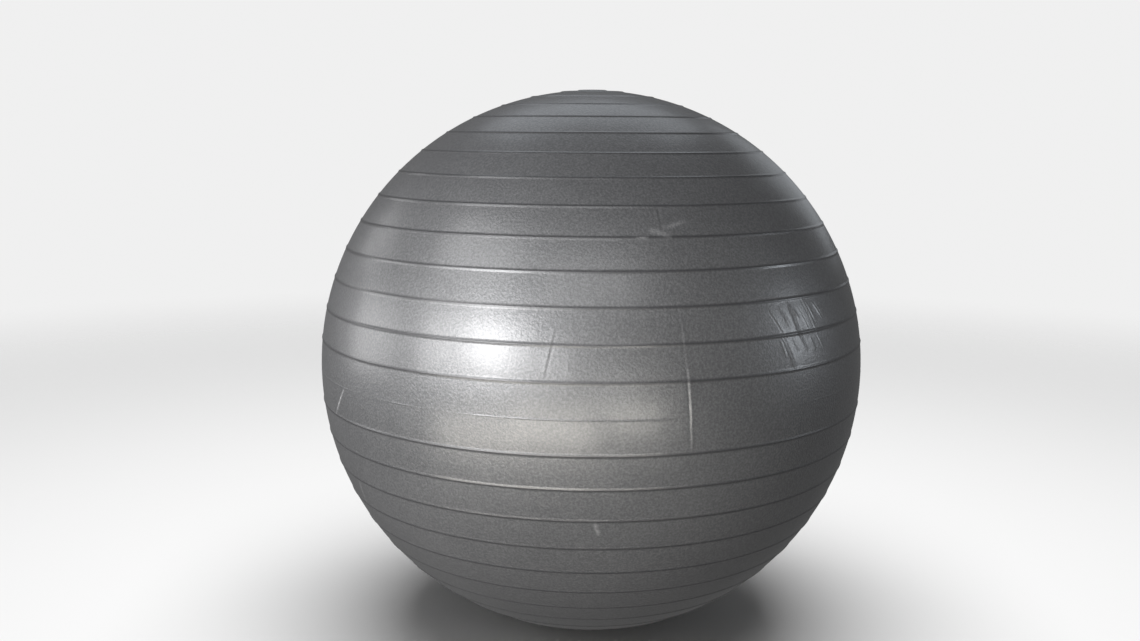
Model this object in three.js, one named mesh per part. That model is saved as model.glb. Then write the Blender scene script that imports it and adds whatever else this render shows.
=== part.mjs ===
// An inflated, ribbed, anti-burst exercise ball standing on the floor with its air valve at the top.
// Millimetres, +Z up. The origin is the middle of the flat patch where the ball touches the floor.
// The ball is three pieces: the blown shell, the soft insert that lines its valve hole, and the plug.

import * as THREE from 'three';

// The ball
const BALL_RADIUS = 260;
const CONTACT_RADIUS = 26; // the ball's own weight presses this much of it flat on the floor
const WALL = 1.0;

// Grip ridges: rings of latitude, evenly spaced from the equator to the pole, with none on the equator
const RIDGES_PER_HALF = 13;
const RIDGE_HALF_WIDTH = 1.9;
const RIDGE_HEIGHT = 0.6;

// The faint line that the two halves of the mould leave round the equator
const PARTING_HALF_WIDTH = 1.0;
const PARTING_HEIGHT = 0.25;

// Valve seat: a thick boss at the top pole, with a raised lip round a shallow recess
const RECESS_RADIUS = 11.8;
const RECESS_DEPTH = 2.4;
const LIP_WIDTH = 2.4;
const LIP_HEIGHT = 0.6;
const HOLE_RADIUS = 8.3;
const BOSS_THICKNESS = 2.0;
const BOSS_RADIUS = 17;
const BOSS_SKIRT = 5;

// Clearance between neighbouring pieces
const GAP = 0.3;

// Valve insert: a soft tube with a flange that seals under the boss
const INSERT_RADIUS = HOLE_RADIUS - GAP;
const INSERT_LENGTH = 16;
const BORE_RADIUS = 5.3;
const BORE_CHAMFER = 0.7;
const FLANGE_RADIUS = 15;
const FLANGE_THICKNESS = 2.5;

// Air plug: a domed head in the recess and a barbed stem down the bore
const HEAD_RADIUS = 11.0;
const HEAD_EDGE = 1.9;
const HEAD_DOME = 0.5;
const HEAD_DOME_STEPS = 3;
const STEM_RADIUS = 3.7;
const BARB_RADIUS = BORE_RADIUS - GAP;
const BARB_COUNT = 4;
const BARB_PITCH = 4.4;
const BARB_TAPER = 3.2;
const TIP_RADIUS = 2.6;
const NECK_LENGTH = 4.4;

// Facets round the axis; both are divisible by four, so that each piece reaches its full radius on X and Y
const SHELL_SEGMENTS = 44;
const VALVE_SEGMENTS = 32;

const centreHeight = Math.sqrt(BALL_RADIUS ** 2 - CONTACT_RADIUS ** 2);
const innerRadius = BALL_RADIUS - WALL;
const ridgePitch = Math.PI / 2 / (RIDGES_PER_HALF + 1);
const recessFloor = centreHeight + BALL_RADIUS - RECESS_DEPTH;
const bossUnderside = recessFloor - BOSS_THICKNESS;

const shellMaterial = new THREE.MeshStandardMaterial({ color: 0x55565a, roughness: 0.4, metalness: 0.4 });
const insertMaterial = new THREE.MeshStandardMaterial({ color: 0x3c3d40, roughness: 0.7, metalness: 0 });
const plugMaterial = new THREE.MeshStandardMaterial({ color: 0xd8d8d4, roughness: 0.4, metalness: 0 });

function point(radius, height) {
  return new THREE.Vector2(radius, height);
}

// A profile point at a latitude of the ball, pressed flat where it would go through the floor.
function ballPoint(radius, latitude, floorHeight) {
  const height = centreHeight + radius * Math.sin(latitude);
  return point(radius * Math.cos(latitude), Math.max(height, floorHeight));
}

// Height of a sphere about the ball's centre, above the floor, near the top pole.
function crownHeight(sphereRadius, distance) {
  return centreHeight + Math.sqrt(sphereRadius ** 2 - distance ** 2);
}

// Foot, crest and foot of a ridge round the ball.
function ridge(latitude, halfWidth, height) {
  const footAngle = halfWidth / BALL_RADIUS;
  return [
    ballPoint(BALL_RADIUS, latitude - footAngle, 0),
    ballPoint(BALL_RADIUS + height, latitude, 0),
    ballPoint(BALL_RADIUS, latitude + footAngle, 0),
  ];
}

// The outside of the shell, from the contact patch up to the foot of the valve lip.
function outsideProfile() {
  const points = [point(0, 0), point(CONTACT_RADIUS, 0)];
  for (let ring = -RIDGES_PER_HALF; ring <= RIDGES_PER_HALF; ring += 1) {
    if (ring === 0) {
      points.push(...ridge(0, PARTING_HALF_WIDTH, PARTING_HEIGHT));
    } else {
      points.push(...ridge(ring * ridgePitch, RIDGE_HALF_WIDTH, RIDGE_HEIGHT));
    }
  }
  return points;
}

// The valve lip, the recess, the hole through the boss, and the boss's underside.
function valveSeatProfile() {
  const lipFoot = RECESS_RADIUS + LIP_WIDTH;
  const lipCrest = RECESS_RADIUS + LIP_WIDTH / 2;
  const lipTop = crownHeight(BALL_RADIUS, lipCrest) + LIP_HEIGHT;
  const skirtFoot = BOSS_RADIUS + BOSS_SKIRT;
  return [
    point(lipFoot, crownHeight(BALL_RADIUS, lipFoot)),
    point(lipCrest, lipTop),
    point(RECESS_RADIUS, lipTop),
    point(RECESS_RADIUS, recessFloor),
    point(HOLE_RADIUS, recessFloor),
    point(HOLE_RADIUS, bossUnderside),
    point(BOSS_RADIUS, bossUnderside),
    point(skirtFoot, crownHeight(innerRadius, skirtFoot)),
  ];
}

// The inside of the shell, from under the valve down to the axis above the contact patch.
function insideProfile() {
  const points = [];
  for (let ring = RIDGES_PER_HALF; ring >= -RIDGES_PER_HALF; ring -= 1) {
    points.push(ballPoint(innerRadius, ring * ridgePitch, WALL));
  }
  const patchRadius = Math.sqrt(innerRadius ** 2 - (centreHeight - WALL) ** 2);
  points.push(point(patchRadius, WALL), point(0, WALL));
  return points;
}

function shellProfile() {
  return [...outsideProfile(), ...valveSeatProfile(), ...insideProfile()];
}

// A closed ring section: the tube and its sealing flange.
function insertProfile() {
  const bottom = recessFloor - INSERT_LENGTH;
  const flangeTop = bossUnderside - GAP;
  const flangeBottom = flangeTop - FLANGE_THICKNESS;
  const start = point(BORE_RADIUS, bottom);
  return [
    start,
    point(INSERT_RADIUS, bottom),
    point(INSERT_RADIUS, flangeBottom),
    point(FLANGE_RADIUS, flangeBottom),
    point(FLANGE_RADIUS, flangeTop),
    point(INSERT_RADIUS, flangeTop),
    point(INSERT_RADIUS, recessFloor),
    point(BORE_RADIUS + BORE_CHAMFER, recessFloor),
    point(BORE_RADIUS, recessFloor - BORE_CHAMFER),
    start.clone(),
  ];
}

// The barbed stem from its tip up to the underside of the head. Each barb widens upwards and ends in
// a square shoulder, so that the plug goes in easily and comes out with a firm pull.
function stemProfile(headBottom) {
  const tip = headBottom - NECK_LENGTH - BARB_COUNT * BARB_PITCH;
  const points = [point(0, tip), point(TIP_RADIUS, tip)];
  for (let barb = 0; barb < BARB_COUNT; barb += 1) {
    const shoulder = tip + barb * BARB_PITCH + BARB_TAPER;
    points.push(point(BARB_RADIUS, shoulder), point(STEM_RADIUS, shoulder));
    points.push(point(STEM_RADIUS, tip + (barb + 1) * BARB_PITCH));
  }
  points.push(point(STEM_RADIUS, headBottom));
  return points;
}

// The head's edge and its shallow dome, from the rim to the axis.
function headProfile(headBottom) {
  const rim = headBottom + HEAD_EDGE;
  const points = [point(HEAD_RADIUS, headBottom)];
  for (let step = 0; step <= HEAD_DOME_STEPS; step += 1) {
    const share = step / HEAD_DOME_STEPS;
    points.push(point(HEAD_RADIUS * (1 - share), rim + HEAD_DOME * (1 - (1 - share) ** 2)));
  }
  return points;
}

function plugProfile() {
  const headBottom = recessFloor + GAP;
  return [...stemProfile(headBottom), ...headProfile(headBottom)];
}

// A piece turned about the ball's upright axis from its profile of radius and height.
function turnedPiece(name, profile, segments, material) {
  const mesh = new THREE.Mesh(new THREE.LatheGeometry(profile, segments), material);
  mesh.name = name;
  mesh.rotation.x = Math.PI / 2;
  return mesh;
}

const exerciseBall = new THREE.Group();
exerciseBall.add(
  turnedPiece('ball_shell', shellProfile(), SHELL_SEGMENTS, shellMaterial),
  turnedPiece('valve_insert', insertProfile(), VALVE_SEGMENTS, insertMaterial),
  turnedPiece('air_plug', plugProfile(), VALVE_SEGMENTS, plugMaterial),
);

export default exerciseBall;
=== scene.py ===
"""A charcoal, ribbed, anti-burst exercise ball with a recessed valve and a pull-out air plug.

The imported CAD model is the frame. Its three nodes stay as they are for the motion, and each is
replaced here by a finely modelled piece of the same size: the skin with its grip ridges, parting
line, packing creases and scuffs, the soft valve insert, and the barbed plug. Units are metres.
"""

import math
import random
from collections import namedtuple

import bmesh
import bpy
import numpy as np
from mathutils import Matrix, Vector, noise


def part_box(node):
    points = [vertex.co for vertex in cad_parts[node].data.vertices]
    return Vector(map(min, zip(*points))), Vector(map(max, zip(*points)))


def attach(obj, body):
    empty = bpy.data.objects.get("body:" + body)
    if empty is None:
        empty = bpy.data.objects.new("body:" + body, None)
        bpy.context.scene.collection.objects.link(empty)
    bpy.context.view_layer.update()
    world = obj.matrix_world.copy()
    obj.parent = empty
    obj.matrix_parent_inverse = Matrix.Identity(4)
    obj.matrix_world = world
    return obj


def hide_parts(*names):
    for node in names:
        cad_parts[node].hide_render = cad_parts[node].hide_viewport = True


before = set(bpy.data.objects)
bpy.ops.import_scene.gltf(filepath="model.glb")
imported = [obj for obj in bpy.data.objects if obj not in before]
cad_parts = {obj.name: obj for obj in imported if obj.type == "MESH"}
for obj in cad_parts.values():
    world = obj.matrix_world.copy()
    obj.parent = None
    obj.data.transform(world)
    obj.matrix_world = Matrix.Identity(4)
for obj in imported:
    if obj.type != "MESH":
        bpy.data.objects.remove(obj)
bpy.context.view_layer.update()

# ---------------------------------------------------------------- driving dimensions, as in the CAD

MM = 0.001
PARTING_HEIGHT = 0.25 * MM
CONTACT_RADIUS = 26 * MM
WALL = 1.0 * MM
RIDGES_PER_HALF = 13
RIDGE_HEIGHT = 0.6 * MM
RIDGE_SECTION = ((0, 0.4, 1.75, 2.1), (1.0, 0.85, 0.09, 0))  # mm from the crest, share of the height
RECESS_RADIUS = 11.8 * MM
RECESS_DEPTH = 2.4 * MM
LIP_WIDTH = 2.4 * MM
LIP_HEIGHT = 0.6 * MM
HOLE_RADIUS = 8.3 * MM
BOSS_THICKNESS = 2.0 * MM
BOSS_RADIUS = 17 * MM
BOSS_SKIRT = 5 * MM
GAP = 0.3 * MM
BORE_RADIUS = 5.3 * MM
FLANGE_THICKNESS = 2.5 * MM
STEM_RADIUS = 3.7 * MM
TIP_RADIUS = 2.6 * MM
BARB_COUNT = 4
BARB_PITCH = 4.4 * MM
BARB_TAPER = 3.2 * MM
HEAD_EDGE = 1.9 * MM

_, shell_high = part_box("ball_shell")
insert_low, insert_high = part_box("valve_insert")
plug_low, plug_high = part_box("air_plug")
BALL_RADIUS = shell_high.x - PARTING_HEIGHT
CENTRE_HEIGHT = math.sqrt(BALL_RADIUS**2 - CONTACT_RADIUS**2)
RIDGE_PITCH = math.radians(90) / (RIDGES_PER_HALF + 1)
INNER_RADIUS = BALL_RADIUS - WALL
RECESS_FLOOR = CENTRE_HEIGHT + BALL_RADIUS - RECESS_DEPTH
BOSS_UNDERSIDE = RECESS_FLOOR - BOSS_THICKNESS
CENTRE = np.array([0, 0, CENTRE_HEIGHT])

# ---------------------------------------------------------------- details that the CAD leaves out

SEAT_ROUNDING = 0.5 * MM
INSERT_ROUNDING = 0.6 * MM
PLUG_ROUNDING = 0.35 * MM
HOLLOW_RADIUS = 1.5 * MM
HOLLOW_DEPTH = 6 * MM
HEAD_STEP = ((0.80, 0.18 * MM), (0.76, -0.10 * MM), (0.70, 0.25 * MM))  # share of radius, over the rim
DOME_SHOULDER = 0.35  # share of the head's radius
DOME_DROP = 0.06 * MM
RIDGE_WANDER = 0.06  # share of a ridge's height
RIDGE_WANDER_SIZE = 90 * MM
RIDGE_WANDER_SEED = 3
WAVES = ((0.16 * MM, 110 * MM, 20), (0.035 * MM, 35 * MM, 40))  # depth, size and noise seed

# ---------------------------------------------------------------- how finely the pieces are modelled

SKIN_COLUMNS = 160
RIDGE_ROWS = (-2.7, -2.1, -1.75, -0.4, 0.0, 0.4, 1.75, 2.1, 2.7)  # mm from the crest
PARTING_ROWS = (-1.5, -0.7, -0.35, 0.0, 0.35, 0.7, 1.5)
ROWS_BETWEEN_RIDGES = 3
FOOT_ROWS = (0, 8 * MM, 17 * MM, CONTACT_RADIUS)
LIP_ROW = 3 * MM
SKIN_TOLERANCE = 0.3 * MM  # how far under the sphere a point may be and still lie on the skin
ROW_TOLERANCE = 0.1 * MM  # and how far past the skin's first or last row
REFINE_CORRIDORS = (12 * MM, 7 * MM, 4.5 * MM, 3 * MM)
REFINED_EDGE = 0.8 * MM
VALVE_COLUMNS = 96
CORNER_STEPS = 4
ON_AXIS = 1e-9
FACE_CORNERS = 4
SKIN_SHARP_ANGLE = 50  # degrees
VALVE_SHARP_ANGLE = 60  # degrees

# ---------------------------------------------------------------- marks on the skin

# A mark follows a line of (azimuth, ring) points. Azimuth is in degrees, 0 faces the camera and it
# grows to the right. Ring 0 is the parting line and ring 1 is the first ridge over it. On a line that
# is written from the top down, lean 1 is a groove with its raised edge on the right, and lean -1 has
# it on the left. lean 0 is a plain burr. reach is how far the skin slopes up to a fold. A mark with no
# height is a scuff. wear is how white the plastic has gone.
Mark = namedtuple("Mark", "height width lean reach wear line")

MARKS = [
    # the long upright fold, faint at the top
    Mark(0.11 * MM, 1.2 * MM, 1, 12 * MM, 0.0, [(16, 3.5), (17, 1)]),
    Mark(0.26 * MM, 1.2 * MM, 1, 18 * MM, 0.08, [(17, 1.5), (18, -1)]),
    # short creases to the left of it
    Mark(0.13 * MM, 1.1 * MM, -1, 0, 0.0, [(-6, 2.5), (-8, 1)]),
    Mark(0.06 * MM, 1.4 * MM, 0, 0, 0.05, [(-4, 2), (-4, 1)]),
    # the deep ones among the packing creases on the right
    Mark(0.50 * MM, 1.0 * MM, -1, 9 * MM, 0.05, [(41, 3), (43, 2), (45, 1.5)]),
    Mark(0.34 * MM, 0.8 * MM, 1, 4 * MM, 0.20, [(45, 3), (48, 2)]),
    Mark(0.36 * MM, 0.9 * MM, -1, 6 * MM, 0.05, [(38, 2), (41, 1)]),
    # scratches on the left and below
    Mark(0.30 * MM, 0.8 * MM, 0, 0, 0.80, [(-55, 0), (-61, -1)]),
    Mark(0.16 * MM, 0.9 * MM, 0, 0, 0.40, [(-57, -3), (-59, -4)]),
    Mark(0.20 * MM, 1.2 * MM, 0, 0, 0.35, [(1, -3), (2, -3.5)]),
    # a faint crease over the middle, and the scuffs at its foot
    Mark(0.16 * MM, 1.2 * MM, -1, 0, 0.0, [(15, 6), (15, 5)]),
    Mark(0, 2.0 * MM, 0, 0, 0.32, [(12, 5.25), (17, 5)]),
    Mark(0, 1.7 * MM, 0, 0, 0.24, [(15, 5.25), (21, 5.5)]),
    Mark(0, 1.0 * MM, 0, 0, 0.32, [(9, 5), (12, 5)]),
]

# Loose bunches of fine packing creases, which hang from near the same ring and slant alike. spread is
# to each side, and slant is how far a crease goes to the right over one ring. Angles in degrees.
Bunch = namedtuple("Bunch", "azimuth ring spread slant count")
BUNCHES = [
    Bunch(42, 3, 8, 4, 6),
    Bunch(43, 2, 7, 3, 4),
    Bunch(104, 3, 9, -2, 5),
    Bunch(166, -3, 9, 3, 5),
    Bunch(214, 4, 9, 2, 5),
    Bunch(262, -1, 9, -3, 5),
]
BUNCH_SEED = 11
CREASE_WIDTH = 0.8 * MM
CREASE_REACH = 3 * MM
CREASE_PLACE = (0.2, 0.8)  # share of its own strip of the bunch
CREASE_DROP = (0.05, 0.3)  # rings
CREASE_RUN = (0.4, 0.85)  # rings
CREASE_STRAY = (-0.5, 0.5)  # degrees
CREASE_HEIGHT = (0.14, 0.30)  # mm
CREASE_WEAR = (0.05, 0.35)

# Stretches of the parting line where a thread of flash stands out: from, to, share of full height.
FLASH = [(-40, -35, 1.0), (-22, -17, 0.9), (-15, 15, 0.85), (45, 60, 0.35)]
FLASH_SEED = 5
FLASH_STRETCHES = 22
FLASH_START = (62, 300)  # degrees
FLASH_LENGTH = (2, 14)  # degrees
FLASH_STRENGTH = (0.3, 1.0)
FLASH_QUIET = 0.12
FLASH_FADE = 0.6  # degrees
FLASH_WIDTH = 0.45 * MM

# The section of a mark: places and widths in the mark's widths, height and depth as shares of its height.
EDGE_PLACE = 1.3
GROOVE_PLACE = 0.4
GROOVE_DEPTH = 0.9
SLOPE_HEIGHT = 0.9
WEAR_WIDTH = 1.1
END_FADE = 0.6  # the lower, the more abrupt its ends
REACHES_SHAPED = 4  # how far from its line a mark is worked out, in reaches and in widths
WIDTHS_SHAPED = 6


def bunched_marks():
    """The fine creases of every bunch, about evenly spaced across it."""
    chance = random.Random(BUNCH_SEED)
    marks = []
    for bunch in BUNCHES:
        for number in range(bunch.count):
            across = 2 * (number + chance.uniform(*CREASE_PLACE)) / bunch.count - 1
            azimuth = bunch.azimuth + bunch.spread * across
            ring = bunch.ring - chance.uniform(*CREASE_DROP)
            run = chance.uniform(*CREASE_RUN)
            foot = azimuth + bunch.slant * run + chance.uniform(*CREASE_STRAY)
            height = chance.uniform(*CREASE_HEIGHT) * MM
            lean = chance.choice((-1, 0, 1))
            wear = chance.uniform(*CREASE_WEAR)
            line = [(azimuth, ring), (foot, ring - run)]
            marks.append(Mark(height, CREASE_WIDTH, lean, CREASE_REACH, wear, line))
    return marks


def flash_stretches():
    """Flash all the way round: the front stretches, then random ones on the rest."""
    chance = random.Random(FLASH_SEED)
    stretches = list(FLASH)
    for _ in range(FLASH_STRETCHES):
        start = chance.uniform(*FLASH_START)
        end = start + chance.uniform(*FLASH_LENGTH)
        stretches.append((start, end, chance.uniform(*FLASH_STRENGTH)))
    return stretches


# ---------------------------------------------------------------- the skin's surface


def from_centre(points):
    """Each point's direction from the ball's centre, and its distance from it."""
    away = points - CENTRE
    distance = np.linalg.norm(away, axis=1)
    return away / distance[:, None], distance


def on_ball(azimuth, ring):
    """The point of the ball at an azimuth in degrees and a ring."""
    turn, latitude = math.radians(azimuth), ring * RIDGE_PITCH
    across = math.cos(latitude)
    outward = np.array([across * math.sin(turn), -across * math.cos(turn), math.sin(latitude)])
    return CENTRE + BALL_RADIUS * outward


def mark_corners(mark):
    """The points of a mark's line, on the ball."""
    return np.array([on_ball(*place) for place in mark.line])


def off_segment(points, normals, start, end):
    """Each point's offset along the skin from the nearest place on a segment, and that place's share."""
    run = end - start
    share = np.clip((points - start) @ run / (run @ run), 0, 1)
    away = points - (start + share[:, None] * run)
    away -= (away * normals).sum(1)[:, None] * normals
    return away, share


def along_mark(points, normals, mark):
    """For each point: its signed distance from the mark's line, and how strong the mark is there."""
    corners = mark_corners(mark)
    steps = np.linalg.norm(np.diff(corners, axis=0), axis=1)
    total, done = steps.sum(), 0.0
    best = np.full(len(points), np.inf)
    side, share = np.zeros(len(points)), np.zeros(len(points))
    for start, end, step in zip(corners[:-1], corners[1:], steps):
        away, part = off_segment(points, normals, start, end)
        distance = np.linalg.norm(away, axis=1)
        nearer = distance < best
        turn = np.sign((np.cross(end - start, normals) * away).sum(1))
        best = np.where(nearer, distance, best)
        side = np.where(nearer, -turn, side)
        share = np.where(nearer, (done + part * step) / total, share)
        done += step
    strength = np.sin(np.pi * np.clip(share, 0, 1)) ** END_FADE
    past_the_end = (share <= 0) | (share >= 1)
    return best * side, np.where(past_the_end, 0, strength)


def mark_height(mark, x, strength):
    """Height of the skin at signed distance x, positive to the right, from the mark's line."""
    edge = np.exp(-((x / mark.width - EDGE_PLACE * mark.lean) ** 2))
    groove = np.exp(-((x / mark.width + GROOVE_PLACE * mark.lean) ** 2))
    profile = edge - GROOVE_DEPTH * groove if mark.lean else edge
    if mark.reach:
        profile += SLOPE_HEIGHT * np.exp(-np.sqrt(x**2 + mark.width**2) / mark.reach)
    return strength * mark.height * profile


def flash_share(azimuth):
    """Share of the parting line's full height at each azimuth in degrees."""
    share = np.full(len(azimuth), FLASH_QUIET)
    for start, end, strength in flash_stretches():
        middle, half = (start + end) / 2, (end - start) / 2
        off = np.abs((azimuth - middle + 180) % 360 - 180)
        inside = np.clip((half - off) / FLASH_FADE, 0, 1)
        share = np.maximum(share, inside * strength)
    return share


def noise_at(points, size, seed):
    """Smooth noise from -1 to 1 with features of that size."""
    shift = Vector((seed, seed * 0.7, -seed))
    return np.array([noise.noise(Vector(p) / size + shift) for p in points])


def skin_shape(points):
    """Directions, heights over the ball's sphere, shares of a ridge and wear, at points on the sphere."""
    normals, _ = from_centre(points)
    latitude = np.arcsin(np.clip(normals[:, 2], -1, 1))
    azimuth = np.degrees(np.arctan2(normals[:, 0], -normals[:, 1]))

    # ridges, whose height wanders a little along the ring
    wander = noise_at(points, RIDGE_WANDER_SIZE, RIDGE_WANDER_SEED)
    ring = np.round(latitude / RIDGE_PITCH)
    from_ring = (latitude - ring * RIDGE_PITCH) * BALL_RADIUS
    bead = np.where(ring == 0, 0, np.interp(np.abs(from_ring) / MM, *RIDGE_SECTION))
    height = bead * RIDGE_HEIGHT * (1 - RIDGE_WANDER + RIDGE_WANDER * wander)

    # the parting line's thin flash on the equator
    flash = np.exp(-((latitude * BALL_RADIUS / FLASH_WIDTH) ** 2))
    height += PARTING_HEIGHT * flash_share(azimuth) * flash

    # the skin isn't perfectly round: it only ever falls short of the full radius
    for depth, size, seed in WAVES:
        height -= depth * (0.5 + 0.5 * noise_at(points, size, seed))

    wear = np.zeros(len(points))
    for mark in MARKS + bunched_marks():
        corners = mark_corners(mark)
        middle = corners.mean(0)
        around = REACHES_SHAPED * mark.reach + WIDTHS_SHAPED * mark.width
        span = np.linalg.norm(corners - middle, axis=1).max() + around
        close = np.flatnonzero(np.linalg.norm(points - middle, axis=1) < span)
        if not len(close):
            continue
        x, strength = along_mark(points[close], normals[close], mark)
        height[close] += mark_height(mark, x, strength)
        rubbed = mark.wear * strength * np.exp(-((x / (WEAR_WIDTH * mark.width)) ** 2))
        wear[close] = np.maximum(wear[close], rubbed)
    return normals, height, bead, wear


# ---------------------------------------------------------------- meshes


def rounded(profile, radius):
    """A profile of (radius, height) points with every inner corner rounded off."""
    out = [profile[0]]
    corners = [Vector(point) for point in profile]
    for before, corner, after in zip(corners[:-2], corners[1:-1], corners[2:]):
        start = corner + (before - corner) * min(0.5, radius / (before - corner).length)
        end = corner + (after - corner) * min(0.5, radius / (after - corner).length)
        for step in range(CORNER_STEPS + 1):
            share = step / CORNER_STEPS
            place = start * (1 - share) ** 2 + corner * 2 * share * (1 - share) + end * share**2
            out.append((place.x, place.y))
    return out + [profile[-1]]


def turned_mesh(name, profile, columns, closed=False):
    """A mesh turned about Z from (radius, height) points. It ends on the axis, or closes on itself."""
    points, faces, rows = [], [], []
    for radius, height in profile:
        if radius < ON_AXIS:
            rows.append([len(points)] * columns)
            points.append((0, 0, height))
            continue
        rows.append([len(points) + column for column in range(columns)])
        for column in range(columns):
            turn = 2 * math.pi * column / columns
            points.append((radius * math.sin(turn), -radius * math.cos(turn), height))
    pairs = list(zip(rows[:-1], rows[1:]))
    if closed:
        pairs.append((rows[-1], rows[0]))
    for low, high in pairs:
        for column in range(columns):
            following = (column + 1) % columns
            corners = [low[column], low[following], high[following], high[column]]
            faces.append(list(dict.fromkeys(corners)))
    mesh = bpy.data.meshes.new(name)
    mesh.from_pydata(points, [], faces)
    return mesh


def skin_rows():
    """Latitudes of the skin's rows, from the foot of the lowest ridge to the foot of the highest."""
    rows = []
    for ring in range(-RIDGES_PER_HALF, RIDGES_PER_HALF + 1):
        offsets = PARTING_ROWS if ring == 0 else RIDGE_ROWS
        on_ridge = [ring * RIDGE_PITCH + offset * MM / BALL_RADIUS for offset in offsets]
        if rows:
            rows += list(np.linspace(rows[-1], on_ridge[0], ROWS_BETWEEN_RIDGES + 2)[1:-1])
        rows += on_ridge
    return rows


def ball_point(radius, latitude):
    """A profile point of a sphere about the ball's centre, at a latitude."""
    return radius * math.cos(latitude), CENTRE_HEIGHT + radius * math.sin(latitude)


def crown(radius, distance):
    """Height of a sphere about the ball's centre, at a distance from its upright axis."""
    return CENTRE_HEIGHT + math.sqrt(radius**2 - distance**2)


def shell_profile():
    """The whole section of the shell, from the axis under the ball, up, in at the valve and down."""
    foot = [(radius, 0) for radius in FOOT_ROWS]
    skin = [ball_point(BALL_RADIUS, latitude) for latitude in skin_rows()]
    lip_foot = RECESS_RADIUS + LIP_WIDTH
    lip_crest = RECESS_RADIUS + LIP_WIDTH / 2
    lip_top = crown(BALL_RADIUS, lip_crest) + LIP_HEIGHT
    skirt_foot = BOSS_RADIUS + BOSS_SKIRT
    seat = [
        (lip_foot + LIP_ROW, crown(BALL_RADIUS, lip_foot + LIP_ROW)),
        (lip_foot, crown(BALL_RADIUS, lip_foot)),
        (lip_crest, lip_top),
        (RECESS_RADIUS, lip_top),
        (RECESS_RADIUS, RECESS_FLOOR),
        (HOLE_RADIUS, RECESS_FLOOR),
        (HOLE_RADIUS, BOSS_UNDERSIDE),
        (BOSS_RADIUS, BOSS_UNDERSIDE),
        (skirt_foot, crown(INNER_RADIUS, skirt_foot)),
    ]
    inside = []
    for ring in range(RIDGES_PER_HALF, -RIDGES_PER_HALF - 1, -1):
        across, height = ball_point(INNER_RADIUS, ring * RIDGE_PITCH)
        inside.append((across, max(height, WALL)))
    return foot + skin + rounded(seat, SEAT_ROUNDING) + inside + [(0, WALL)]


def mark_distance(points):
    """Distance of each point from the nearest mark."""
    normals, _ = from_centre(points)
    nearest = np.full(len(points), np.inf)
    for mark in MARKS + bunched_marks():
        corners = mark_corners(mark)
        for start, end in zip(corners[:-1], corners[1:]):
            away, _ = off_segment(points, normals, start, end)
            nearest = np.minimum(nearest, np.linalg.norm(away, axis=1))
    return nearest


def is_skin(points):
    """True for the points that lie on the ball's outer sphere, clear of the valve and the foot."""
    normals, distance = from_centre(points)
    latitude = np.arcsin(np.clip(normals[:, 2], -1, 1))
    edge = RIDGES_PER_HALF * RIDGE_PITCH + (RIDGE_ROWS[-1] * MM + ROW_TOLERANCE) / BALL_RADIUS
    return (distance > BALL_RADIUS - SKIN_TOLERANCE) & (np.abs(latitude) < edge)


def coordinates(mesh):
    """The mesh's points as an array of rows."""
    flat = np.zeros(len(mesh.vertices) * 3)
    mesh.vertices.foreach_get("co", flat)
    return flat.reshape(-1, 3)


def refine_at_marks(mesh):
    """Splits the faces near the marks until their edges are short enough to carry the creases."""
    for corridor in REFINE_CORRIDORS:
        points = coordinates(mesh)
        near = is_skin(points) & (mark_distance(points) < corridor)
        edit = bmesh.new()
        edit.from_mesh(mesh)
        edges = [
            e for e in edit.edges
            if near[e.verts[0].index] and near[e.verts[1].index] and e.calc_length() > REFINED_EDGE
        ]
        bmesh.ops.subdivide_edges(edit, edges=edges, cuts=1, use_grid_fill=True)
        uneven = [f for f in edit.faces if len(f.verts) > FACE_CORNERS]
        bmesh.ops.triangulate(edit, faces=uneven)
        edit.to_mesh(mesh)
        edit.free()


def shape_skin(mesh):
    """Lifts the skin's points to their ridges and marks, presses the foot flat, stores ridge and wear."""
    points = coordinates(mesh)
    skin = np.flatnonzero(is_skin(points))
    normals, height, bead, wear = skin_shape(points[skin])
    points[skin] = CENTRE + normals * (BALL_RADIUS + height)[:, None]
    points[skin, 2] = np.maximum(points[skin, 2], 0)
    mesh.vertices.foreach_set("co", points.ravel())
    for name, share in (("ridge", bead), ("wear", wear)):
        values = np.zeros(len(points), np.float32)
        values[skin] = share
        mesh.attributes.new(name, "FLOAT", "POINT").data.foreach_set("value", values)
    mesh.update()


def placed(name, mesh, material, body, node, sharp_angle):
    """Makes the mesh an object that replaces a CAD node and rides on its body."""
    mesh.validate()
    mesh.shade_smooth()
    mesh.set_sharp_from_angle(angle=math.radians(sharp_angle))
    mesh.materials.append(material)
    piece = bpy.data.objects.new(name, mesh)
    bpy.context.scene.collection.objects.link(piece)
    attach(piece, body)
    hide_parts(node)
    return piece


# ---------------------------------------------------------------- materials


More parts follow.
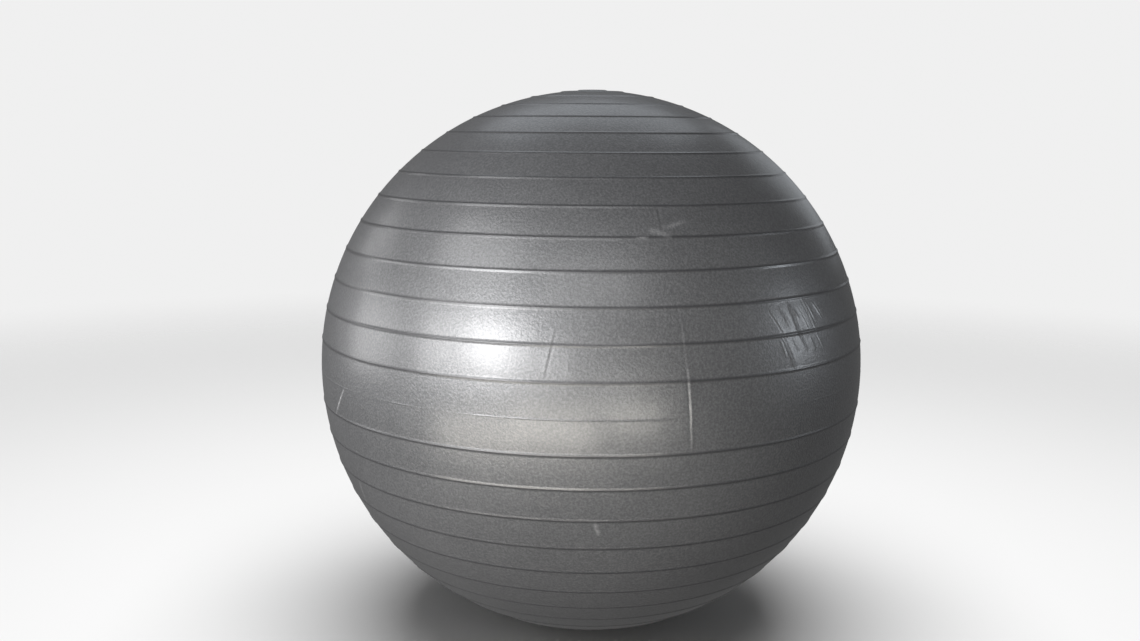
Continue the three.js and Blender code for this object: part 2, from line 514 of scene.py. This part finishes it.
class Nodes:
    """A short way to add and join the nodes of one material or world."""

    def __init__(self, owner):
        self.tree = owner.node_tree
        self.tree.nodes.clear()

    def add(self, kind, **settings):
        """Adds a node. Each setting is one of its properties, or one of its inputs with _ for a space."""
        node = self.tree.nodes.new(kind)
        for name, value in settings.items():
            if hasattr(node, name):
                setattr(node, name, value)
            else:
                node.inputs[name.replace("_", " ")].default_value = value
        return node

    def join(self, source, target):
        self.tree.links.new(source, target)

    def noise(self, where, scale, detail, roughness):
        node = self.add("ShaderNodeTexNoise", Scale=scale, Detail=detail, Roughness=roughness)
        self.join(where, node.inputs["Vector"])
        return node.outputs["Fac"]

    def spread(self, value, source, target=(0, 1), kind="LINEAR"):
        """Maps a value from one range to another, and holds it there."""
        node = self.add("ShaderNodeMapRange", interpolation_type=kind)
        for name, number in zip(("From Min", "From Max", "To Min", "To Max"), (*source, *target)):
            node.inputs[name].default_value = number
        self.join(value, node.inputs["Value"])
        return node.outputs["Result"]

    def maths(self, operation, first, second):
        node = self.add("ShaderNodeMath", operation=operation)
        for socket, value in zip(node.inputs, (first, second)):
            if isinstance(value, (int, float)):
                socket.default_value = value
            else:
                self.join(value, socket)
        return node.outputs["Value"]

    def blend_colour(self, share, first, second):
        node = self.add("ShaderNodeMix", data_type="RGBA")
        for name, value in (("A", first), ("B", second)):
            socket = next(s for s in node.inputs if s.name == name and s.type == "RGBA")
            if isinstance(value, tuple):
                socket.default_value = (*value, 1)
            else:
                self.join(value, socket)
        self.join(share, node.inputs["Factor"])
        return next(s for s in node.outputs if s.type == "RGBA")

    def bump(self, height, distance, strength, under=None):
        node = self.add("ShaderNodeBump", Strength=strength, Distance=distance)
        self.join(height, node.inputs["Height"])
        if under is not None:
            self.join(under, node.inputs["Normal"])
        return node.outputs["Normal"]


def new_material(name):
    material = bpy.data.materials.new(name)
    material.use_nodes = True
    return material, Nodes(material)


def skin_material():
    """Satin charcoal PVC: a fine pebbled grain, cloudy variation, faint smudges, pale scuffs, and ridges
    painted darker, partly for their thicker plastic and partly as painted shade.
    """
    dark_skin, light_skin = (0.076, 0.077, 0.081), (0.090, 0.091, 0.095)
    dark_fleck, light_fleck = (0.124, 0.125, 0.130), (0.142, 0.143, 0.148)
    # The ridges are painted darker. This is partly the thicker, less stretched ridge plastic and partly
    # painted shade for the dark lines their flanks show.
    ridge_plastic_and_painted_shade, ridge_shade_cover = (0.036, 0.036, 0.039), 0.9
    worn_colour, worn_roughness = (0.48, 0.48, 0.49), 0.2
    material, n = new_material("skin")
    where = n.add("ShaderNodeTexCoord").outputs["Object"]
    clouds = n.noise(where, scale=5.5, detail=3, roughness=0.55)
    smudges = n.noise(where, scale=17, detail=4, roughness=0.6)
    grain = n.noise(where, scale=540, detail=2, roughness=0.6)
    peel = n.noise(where, scale=95, detail=2, roughness=0.5)
    breaks = n.noise(where, scale=420, detail=2, roughness=0.6)
    wear = n.add("ShaderNodeAttribute", attribute_name="wear").outputs["Fac"]
    ridge = n.add("ShaderNodeAttribute", attribute_name="ridge").outputs["Fac"]
    broken_wear = n.maths("MULTIPLY", wear, n.spread(breaks, (0.35, 0.62), (0.25, 1)))

    cloudy = n.spread(clouds, (0.3, 0.7))
    plain = n.blend_colour(cloudy, dark_skin, light_skin)
    pale = n.blend_colour(cloudy, dark_fleck, light_fleck)
    flecked = n.blend_colour(n.spread(grain, (0.38, 0.72)), plain, pale)
    # Painted shade, with the ridge plastic's own darker tone, laid over the ridges.
    ridges_painted_darker = n.blend_colour(n.maths("MULTIPLY", ridge, ridge_shade_cover), flecked, ridge_plastic_and_painted_shade)
    worn = n.blend_colour(broken_wear, ridges_painted_darker, worn_colour)

    shader = n.add("ShaderNodeBsdfPrincipled", Metallic=0.4, Coat_Weight=0.6, Coat_Roughness=0.25)
    n.join(worn, shader.inputs["Base Color"])
    hazy = n.spread(smudges, (0.35, 0.68), (0.37, 0.45))
    rough = n.maths("ADD", hazy, n.maths("MULTIPLY", wear, worn_roughness))
    n.join(rough, shader.inputs["Roughness"])
    dimples = n.bump(peel, distance=0.10 * MM, strength=0.5)
    pebbles = n.bump(grain, distance=0.44 * MM, strength=0.8, under=dimples)
    n.join(pebbles, shader.inputs["Normal"])
    output = n.add("ShaderNodeOutputMaterial")
    n.join(shader.outputs["BSDF"], output.inputs["Surface"])
    return material


def moulded_material(name, dark, light, roughness, grain_scale):
    """Plain moulded plastic or rubber with soft tone variation and a fine grain. roughness is a range."""
    material, n = new_material(name)
    where = n.add("ShaderNodeTexCoord").outputs["Object"]
    tone = n.noise(where, scale=160, detail=3, roughness=0.55)
    grain = n.noise(where, scale=grain_scale, detail=2, roughness=0.6)
    shader = n.add("ShaderNodeBsdfPrincipled", IOR=1.5)
    n.join(n.blend_colour(n.spread(tone, (0.3, 0.7)), dark, light), shader.inputs["Base Color"])
    n.join(n.spread(grain, (0.3, 0.7), roughness), shader.inputs["Roughness"])
    n.join(n.bump(grain, distance=0.03 * MM, strength=0.5), shader.inputs["Normal"])
    output = n.add("ShaderNodeOutputMaterial")
    n.join(shader.outputs["BSDF"], output.inputs["Surface"])
    return material


# ---------------------------------------------------------------- the three pieces


def make_skin():
    """The whole shell in one mesh, finer where the skin is marked."""
    mesh = turned_mesh("skin", shell_profile(), SKIN_COLUMNS)
    refine_at_marks(mesh)
    shape_skin(mesh)
    return placed("skin", mesh, skin_material(), "ball", "ball_shell", SKIN_SHARP_ANGLE)


def make_insert():
    """The soft tube and its sealing flange, with rounded edges."""
    bottom, outer = insert_low.z, HOLE_RADIUS - GAP
    middle = (bottom + RECESS_FLOOR) / 2
    flange_top = BOSS_UNDERSIDE - GAP
    flange_bottom = flange_top - FLANGE_THICKNESS
    flange_radius = insert_high.x
    section = [
        (BORE_RADIUS, middle),
        (BORE_RADIUS, bottom),
        (outer, bottom),
        (outer, flange_bottom),
        (flange_radius, flange_bottom),
        (flange_radius, flange_top),
        (outer, flange_top),
        (outer, RECESS_FLOOR),
        (BORE_RADIUS, RECESS_FLOOR),
        (BORE_RADIUS, middle + 1 * MM),
    ]
    mesh = turned_mesh("valve_seat", rounded(section, INSERT_ROUNDING), VALVE_COLUMNS, closed=True)
    dark, light = (0.035, 0.036, 0.039), (0.05, 0.05, 0.054)
    material = moulded_material("insert_rubber", dark, light, roughness=(0.55, 0.66), grain_scale=900)
    return placed("valve_seat", mesh, material, "ball", "valve_insert", VALVE_SHARP_ANGLE)


def make_plug():
    """The barbed stem with a hollow end, and the domed head with a step round its rim."""
    head_bottom, head_radius, top = RECESS_FLOOR + GAP, plug_high.x, plug_high.z
    rim = head_bottom + HEAD_EDGE
    tip, barb_radius = plug_low.z, BORE_RADIUS - GAP
    hollow_top = tip + HOLLOW_DEPTH
    section = [(0, hollow_top), (HOLLOW_RADIUS, hollow_top), (HOLLOW_RADIUS, tip), (TIP_RADIUS, tip)]
    for barb in range(BARB_COUNT):
        shoulder = tip + barb * BARB_PITCH + BARB_TAPER
        section += [(barb_radius, shoulder), (STEM_RADIUS, shoulder)]
        section.append((STEM_RADIUS, tip + (barb + 1) * BARB_PITCH))
    section += [(STEM_RADIUS, head_bottom), (head_radius, head_bottom), (head_radius, rim)]
    section += [(head_radius * share, rim + height) for share, height in HEAD_STEP]
    section += [(head_radius * DOME_SHOULDER, top - DOME_DROP), (0, top)]
    mesh = turned_mesh("plug", rounded(section, PLUG_ROUNDING), VALVE_COLUMNS)
    dark, light = (0.62, 0.62, 0.60), (0.72, 0.72, 0.70)
    material = moulded_material("plug_plastic", dark, light, roughness=(0.33, 0.44), grain_scale=700)
    return placed("plug", mesh, material, "plug", "air_plug", VALVE_SHARP_ANGLE)


# ---------------------------------------------------------------- camera, floor and light

CAMERA_DISTANCE = 4.52 * BALL_RADIUS
CAMERA_ELEVATION = 10.8  # degrees, like the next three
CAMERA_YAW, CAMERA_PITCH, CAMERA_ROLL = -1.0, -9.0, 0.3
CAMERA_LENS = 37.5
FLOOR_RADIUS = 4.0
FLOOR_SIDES = 96
FLOOR_FADE = (0.7, 2.6)
FLOOR_COLOUR = (0.82, 0.82, 0.82, 1)
BACKGROUND = (0.87, 0.87, 0.87, 1)
SURROUNDING_LIGHT = 0.14


def direction(azimuth, elevation):
    """A unit vector from the ball. Azimuth 0 is towards the camera's side and grows to the right."""
    turn, rise = math.radians(azimuth), math.radians(elevation)
    across = math.cos(rise)
    return Vector((math.sin(turn) * across, -math.cos(turn) * across, math.sin(rise)))


def make_camera():
    """The camera in front of the ball. Its yaw and pitch are measured from straight ahead."""
    data = bpy.data.cameras.new("camera")
    data.lens = CAMERA_LENS
    camera = bpy.data.objects.new("camera", data)
    bpy.context.scene.collection.objects.link(camera)
    camera.location = Vector(CENTRE) + direction(0, CAMERA_ELEVATION) * CAMERA_DISTANCE
    ahead = direction(180 - CAMERA_YAW, CAMERA_PITCH)
    right = ahead.cross(Vector((0, 0, 1))).normalized()
    turn = Matrix((right, right.cross(ahead), -ahead)).transposed()
    roll = Matrix.Rotation(math.radians(CAMERA_ROLL), 3, "Z")
    camera.rotation_euler = (turn @ roll).to_euler()
    bpy.context.scene.camera = camera


def make_floor():
    """A pale floor that fades out to the background, so that no hard horizon shows."""
    bpy.ops.mesh.primitive_circle_add(vertices=FLOOR_SIDES, radius=FLOOR_RADIUS, fill_type="NGON")
    floor = bpy.context.object
    floor.name = "floor"
    floor.visible_glossy = False
    floor.visible_diffuse = False
    material, n = new_material("floor")
    length = n.add("ShaderNodeVectorMath", operation="LENGTH")
    n.join(n.add("ShaderNodeTexCoord").outputs["Object"], length.inputs[0])
    matt = n.add("ShaderNodeBsdfDiffuse", Color=FLOOR_COLOUR)
    clear = n.add("ShaderNodeBsdfTransparent")
    mix = n.add("ShaderNodeMixShader")
    n.join(n.spread(length.outputs["Value"], FLOOR_FADE, kind="SMOOTHSTEP"), mix.inputs[0])
    n.join(matt.outputs["BSDF"], mix.inputs[1])
    n.join(clear.outputs["BSDF"], mix.inputs[2])
    n.join(mix.outputs["Shader"], n.add("ShaderNodeOutputMaterial").inputs["Surface"])
    floor.data.materials.append(material)
    return floor


def make_world():
    """Pale to the camera, and much dimmer as light on the ball."""
    world = bpy.data.worlds.new("world")
    world.use_nodes = True
    bpy.context.scene.world = world
    n = Nodes(world)
    seen = n.add("ShaderNodeBackground", Color=BACKGROUND)
    light = n.add("ShaderNodeBackground", Color=(1, 1, 1, 1), Strength=SURROUNDING_LIGHT)
    mix = n.add("ShaderNodeMixShader")
    n.join(n.add("ShaderNodeLightPath").outputs["Is Camera Ray"], mix.inputs[0])
    n.join(light.outputs["Background"], mix.inputs[1])
    n.join(seen.outputs["Background"], mix.inputs[2])
    n.join(mix.outputs["Shader"], n.add("ShaderNodeOutputWorld").inputs["Surface"])


# Every panel faces the ball's centre, and lights its subject only. Angles in degrees round the centre,
# sizes in metres, power in watts.
Panel = namedtuple("Panel", "name azimuth elevation distance width height power colour subject")
WHITE, COOL, WARM = (1, 1, 1), (0.88, 0.94, 1), (1, 0.96, 0.87)
PANELS = [
    Panel("over_the_floor", 0, 89, 2.2, 2.4, 2.4, 84, WHITE, "floor"),
    Panel("key", -38, 12, 2.0, 0.9, 0.8, 25, WHITE, "ball"),
    Panel("key_core", -38, 12, 2.0, 0.32, 0.32, 14, WHITE, "ball"),
    Panel("key_left", -60, 10, 2.0, 0.5, 0.7, 10, WHITE, "ball"),
    Panel("key_right", -14, 8, 2.0, 0.5, 0.6, 5, WHITE, "ball"),
    Panel("front", 8, 0, 2.0, 0.5, 0.4, 1.5, WHITE, "ball"),
    Panel("low_left", -38, -15, 0.72, 0.34, 0.12, 0.8, WARM, "ball"),
    Panel("low_front_left", -12, -12, 0.72, 0.34, 0.14, 1.2, WARM, "ball"),
    Panel("low_front", 14, -8, 0.72, 0.2, 0.10, 0.5, WARM, "ball"),
    Panel("side_right", 87, 9, 2.0, 0.40, 0.6, 5, COOL, "ball"),
    Panel("side_left", -95, 5, 2.0, 0.9, 0.7, 7, WHITE, "ball"),
    Panel("high_front", 0, 38, 2.0, 1.2, 0.7, 6, WHITE, "ball"),
    Panel("high_left", -58, 42, 2.0, 1.2, 0.7, 10, WHITE, "ball"),
    Panel("high_back", 180, 54, 2.0, 1.6, 0.9, 4.5, COOL, "ball"),
    Panel("back_left", -117, 22, 2.0, 0.7, 0.5, 1.5, WHITE, "ball"),
    Panel("rim_right", 147, 20, 2.0, 0.8, 0.9, 1.2, COOL, "ball"),
]


def collection_of(name, members):
    """A collection for light linking."""
    group = bpy.data.collections.new(name)
    for member in members:
        group.objects.link(member)
    return group


def make_lights(pieces, floor):
    """Soft panels round the ball, and one over the floor that keeps it pale without lighting the ball."""
    subjects = {"ball": collection_of("lit_ball", pieces), "floor": collection_of("lit_floor", [floor])}
    for panel in PANELS:
        data = bpy.data.lights.new(panel.name, "AREA")
        data.shape = "RECTANGLE"
        data.size, data.size_y = panel.width, panel.height
        data.energy, data.color = panel.power, panel.colour
        light = bpy.data.objects.new(panel.name, data)
        bpy.context.scene.collection.objects.link(light)
        towards = direction(panel.azimuth, panel.elevation)
        light.location = Vector(CENTRE) + towards * panel.distance
        light.rotation_euler = towards.to_track_quat("Z", "Y").to_euler()
        light.visible_camera = False
        light.light_linking.receiver_collection = subjects[panel.subject]


make_camera()
make_world()
pieces = [make_skin(), make_insert(), make_plug()]
make_lights(pieces, make_floor())

bpy.context.scene.view_settings.view_transform = "Standard"
